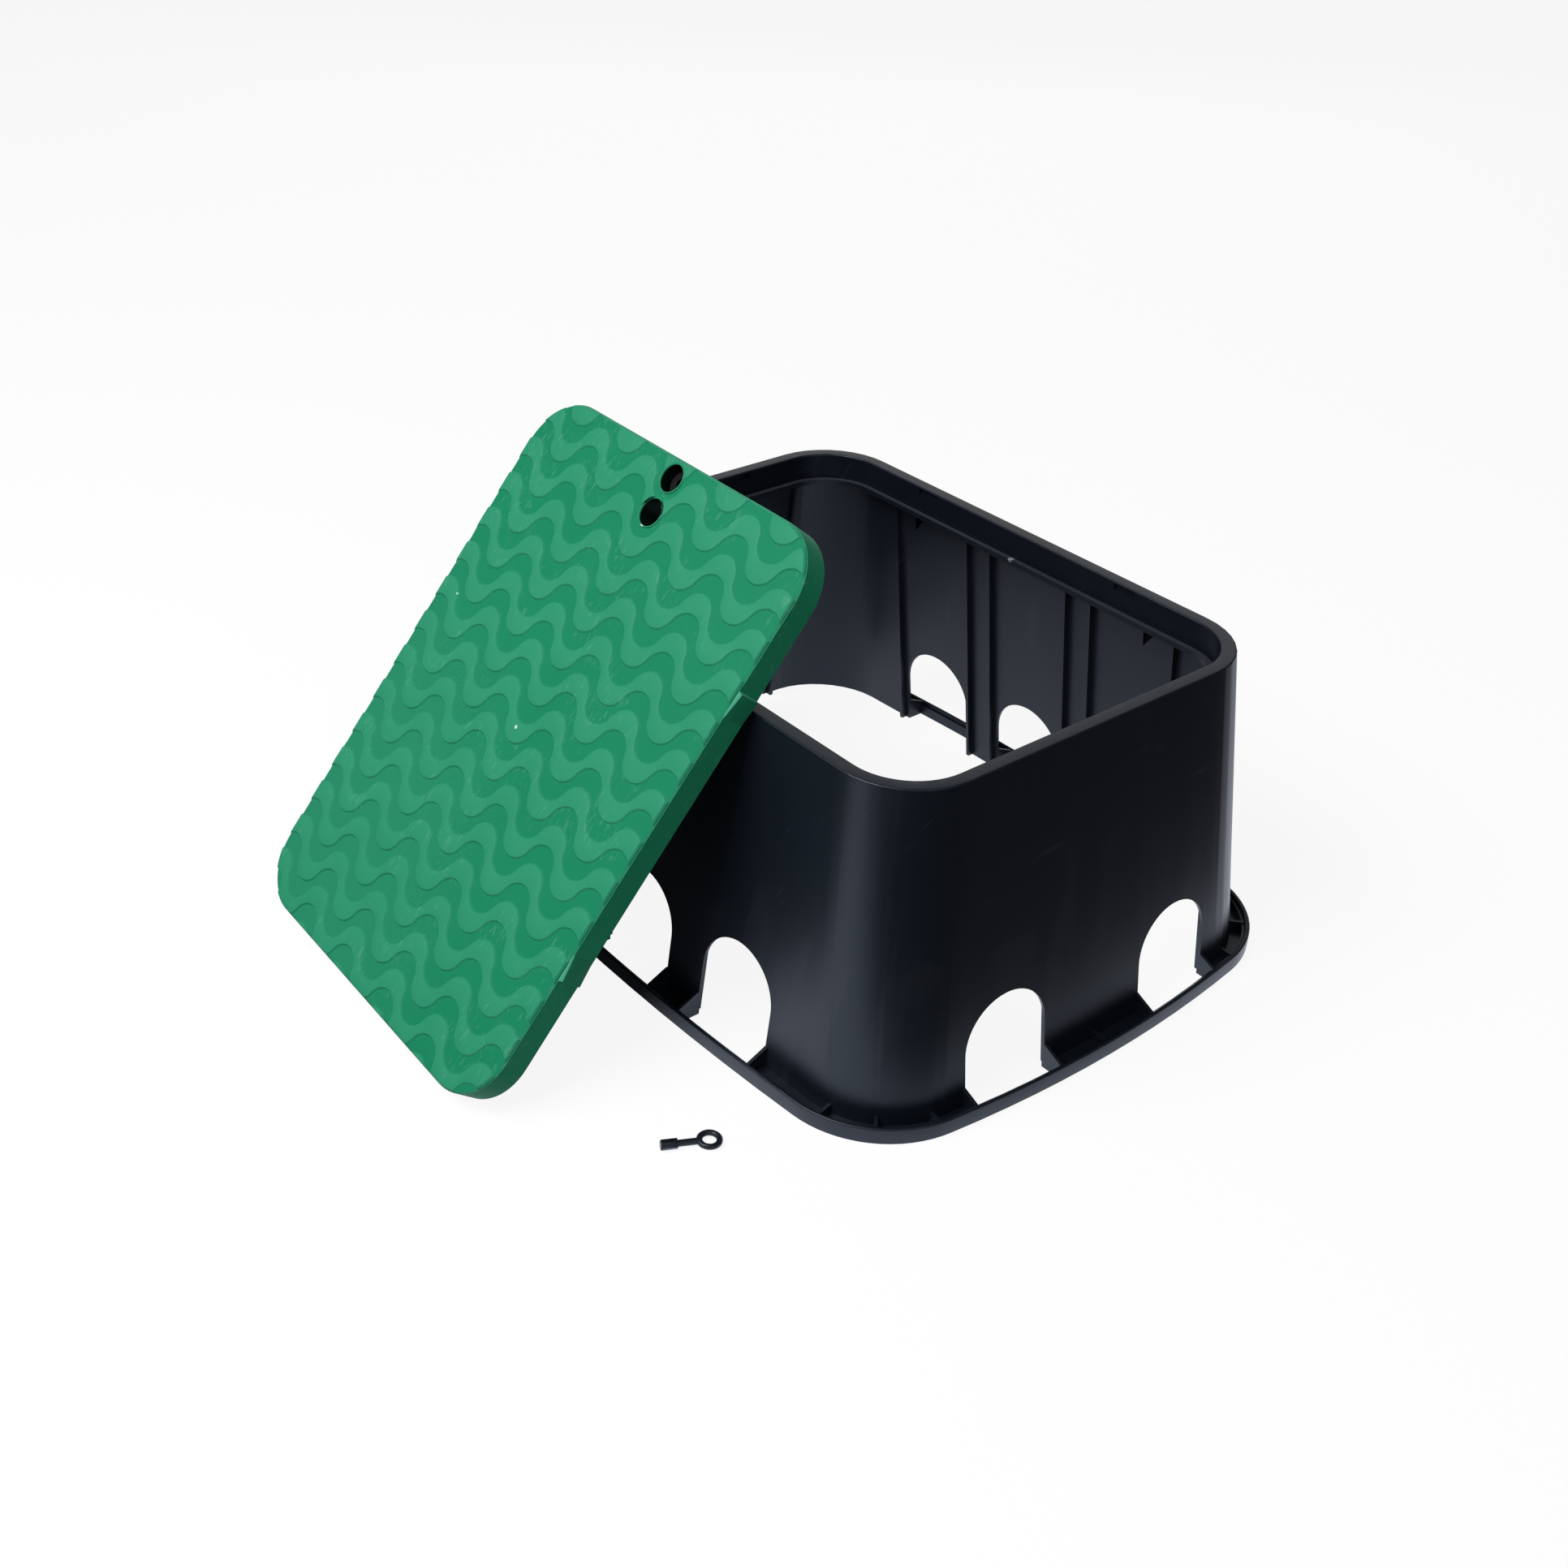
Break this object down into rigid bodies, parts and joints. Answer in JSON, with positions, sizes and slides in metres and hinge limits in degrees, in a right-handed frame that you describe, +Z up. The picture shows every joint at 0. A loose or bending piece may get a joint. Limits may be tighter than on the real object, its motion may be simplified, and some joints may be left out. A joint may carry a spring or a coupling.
{
  "type": "inspection box",
  "caption": "Tapered open-bottomed plastic ground box with pipe arches and a foot flange, its wave-tread lid leaning against the rim, with quarter-turn lock and ring key.",
  "frame": {"origin": "centre of the whole part's footprint, box, leaning lid and key together, on the ground", "axes": "+X along the box's long side, +Y from the leaning lid towards the box, +Z up"},
  "size_m": [0.699, 0.7692, 0.4334],
  "materials": {
    "box_plastic": "satin black moulded polyolefin",
    "lid_plastic": "satin green moulded polyolefin, scuffed",
    "lock_plastic": "satin dark grey moulded plastic",
    "cam_steel": "zinc plated",
    "screw_steel": "zinc plated",
    "key_paint": "black coated"
  },
  "bodies": {
    "box": {"box_body": "box_plastic", "lid": "lid_plastic", "key": "key_paint"},
    "lock": {"lock_barrel": "lock_plastic", "lock_cam": "cam_steel", "lock_screw": "screw_steel"}
  },
  "joints": [
    {"name": "lock_turn", "type": "hinge", "parent": "box", "child": "lock", "pos_m": [-0.08761, -0.04645, 0.42109], "axis": [-0.0262, -0.7701, 0.6374], "range_deg": [0, 90]}
  ]
}
